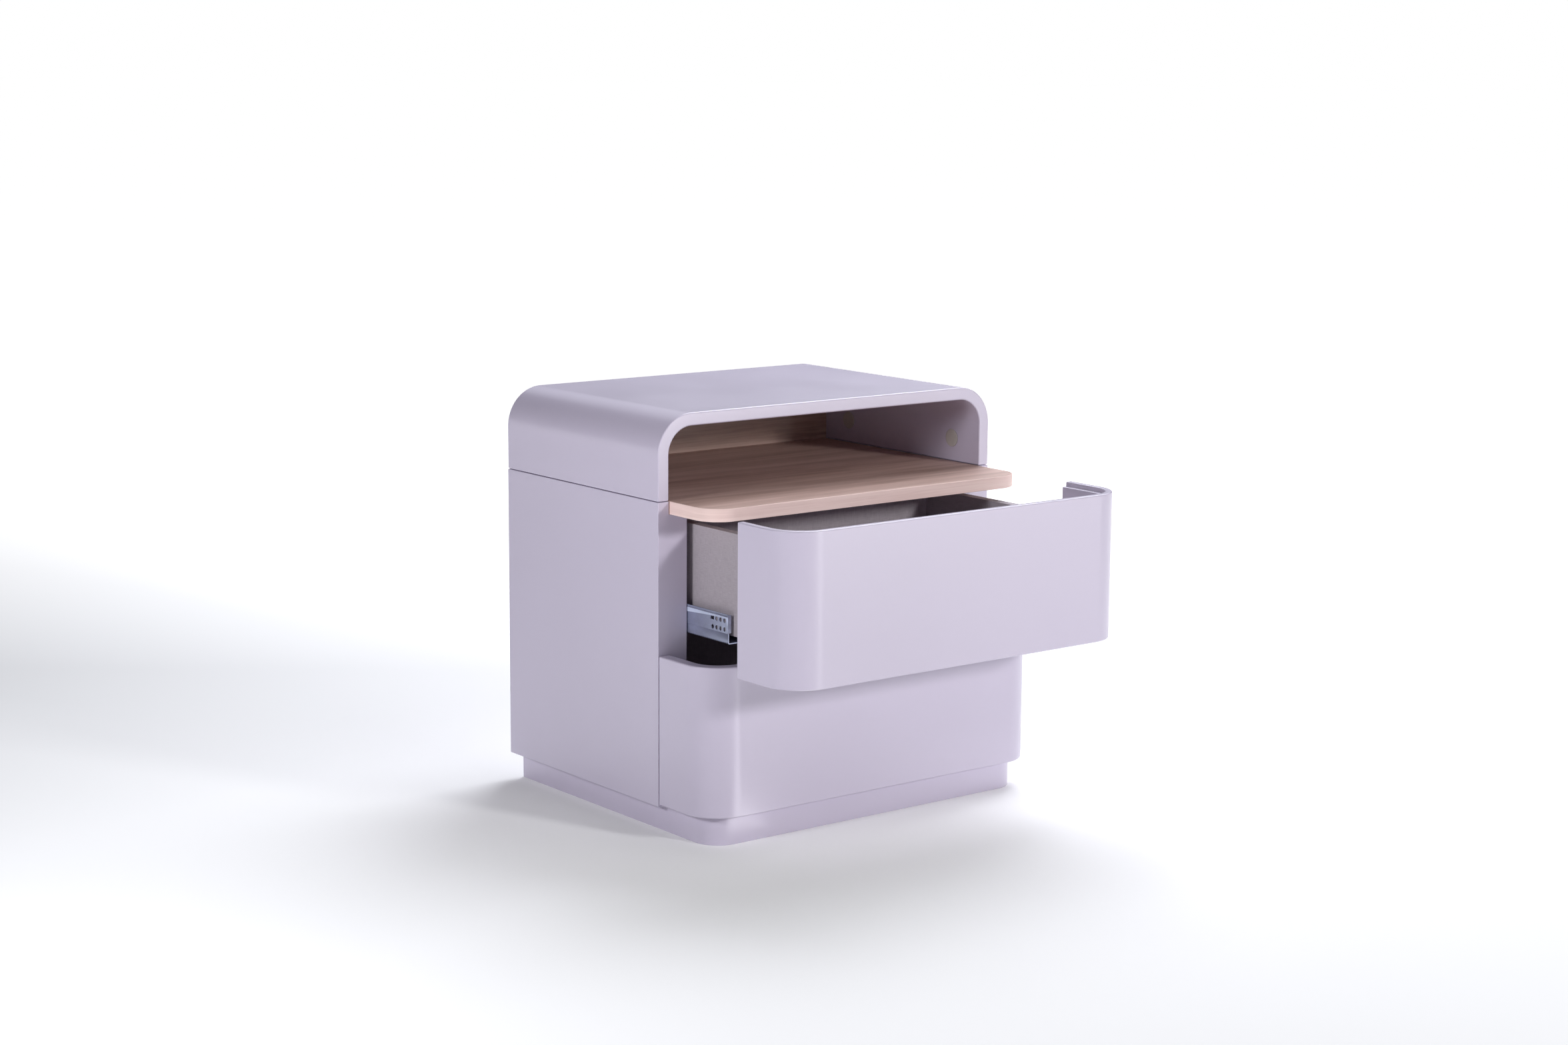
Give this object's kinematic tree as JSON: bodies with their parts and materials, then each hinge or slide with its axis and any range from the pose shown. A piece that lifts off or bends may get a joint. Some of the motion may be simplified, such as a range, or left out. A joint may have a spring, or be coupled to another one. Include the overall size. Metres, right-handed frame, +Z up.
{
  "type": "bedside cabinet",
  "caption": "Bedside cabinet with an arched top shell over an open niche, a projecting shelf and U-shaped handle-less drawer fronts on concealed slides, on a recessed plinth.",
  "frame": {"origin": "on the floor, under the centre of the closed cabinet, on the underside of the plinth's cross rail", "axes": "+Z up, the fronts face -Y, +X to the right as seen from the front"},
  "size_m": [0.5, 0.5609, 0.487],
  "materials": {
    "lacquer": "pale lavender-grey semi-gloss lacquer on board",
    "wood_laminate": "walnut-toned wood-grain laminate, matt",
    "edge_band": "pale pinkish wood-grain edging",
    "linen_laminate": "grey-beige linen-texture laminate",
    "galvanised_slides": "galvanised sheet steel",
    "zinc_fittings": "zinc plated",
    "cap_plastic": "satin plastic cover cap",
    "clip_plastic": "grey moulded plastic",
    "beech_dowels": "plain beech"
  },
  "bodies": {
    "carcass": {"base_board": "lacquer", "cam_bolt_front_left": "zinc_fittings", "cam_bolt_front_right": "zinc_fittings", "cam_bolt_rear_left": "zinc_fittings", "cam_bolt_rear_right": "zinc_fittings", "cam_cover_cap_front_left": "cap_plastic", "cam_cover_cap_front_right": "cap_plastic", "cam_cover_cap_rear_left": "cap_plastic", "cam_cover_cap_rear_right": "cap_plastic", "cam_fitting_front_left": "zinc_fittings", "cam_fitting_front_right": "zinc_fittings", "cam_fitting_rear_left": "zinc_fittings", "cam_fitting_rear_right": "zinc_fittings", "carcass_back_panel": "lacquer", "dowel_front_left": "beech_dowels", "dowel_front_right": "beech_dowels", "dowel_rear_left": "beech_dowels", "dowel_rear_right": "beech_dowels", "left_side_panel": "lacquer", "lower_left_fixed_rail": "galvanised_slides", "lower_right_fixed_rail": "galvanised_slides", "niche_back_panel": "wood_laminate", "plinth_back_rail": "lacquer", "plinth_cross_rail": "lacquer", "plinth_skirt": "lacquer", "right_side_panel": "lacquer", "shelf_board": "wood_laminate", "shelf_edge_band": "edge_band", "top_shell": "lacquer", "upper_left_fixed_rail": "galvanised_slides", "upper_right_fixed_rail": "galvanised_slides"},
    "upper_drawer": {"upper_drawer_back": "linen_laminate", "upper_drawer_bottom": "linen_laminate", "upper_drawer_front": "lacquer", "upper_drawer_left_side": "linen_laminate", "upper_drawer_right_side": "linen_laminate", "upper_drawer_sub_front": "linen_laminate", "upper_front_screw_left": "zinc_fittings", "upper_front_screw_right": "zinc_fittings", "upper_left_drawer_rail": "galvanised_slides", "upper_locking_clip_left": "clip_plastic", "upper_locking_clip_right": "clip_plastic", "upper_right_drawer_rail": "galvanised_slides"},
    "lower_drawer": {"lower_drawer_back": "linen_laminate", "lower_drawer_bottom": "linen_laminate", "lower_drawer_front": "lacquer", "lower_drawer_left_side": "linen_laminate", "lower_drawer_right_side": "linen_laminate", "lower_drawer_sub_front": "linen_laminate", "lower_front_screw_left": "zinc_fittings", "lower_front_screw_right": "zinc_fittings", "lower_left_drawer_rail": "galvanised_slides", "lower_locking_clip_left": "clip_plastic", "lower_locking_clip_right": "clip_plastic", "lower_right_drawer_rail": "galvanised_slides"},
    "upper_middle_rails": {"upper_left_middle_rail": "galvanised_slides", "upper_right_middle_rail": "galvanised_slides"},
    "lower_middle_rails": {"lower_left_middle_rail": "galvanised_slides", "lower_right_middle_rail": "galvanised_slides"}
  },
  "joints": [
    {"name": "upper_drawer_slide", "type": "slide", "parent": "carcass", "child": "upper_drawer", "axis": [0, -1, 0], "range_m": [-0.1473, 0.1327]},
    {"name": "upper_middle_slide", "type": "slide", "parent": "carcass", "child": "upper_middle_rails", "axis": [0, -1, 0], "range_m": [-0.0737, 0.0664]},
    {"name": "lower_drawer_slide", "type": "slide", "parent": "carcass", "child": "lower_drawer", "axis": [0, -1, 0], "range_m": [0, 0.28]},
    {"name": "lower_middle_slide", "type": "slide", "parent": "carcass", "child": "lower_middle_rails", "axis": [0, -1, 0], "range_m": [0, 0.1401]}
  ],
  "couplings": [
    {"joint": "upper_middle_slide", "follows": "upper_drawer_slide", "ratio": 0.5},
    {"joint": "lower_middle_slide", "follows": "lower_drawer_slide", "ratio": 0.5}
  ]
}
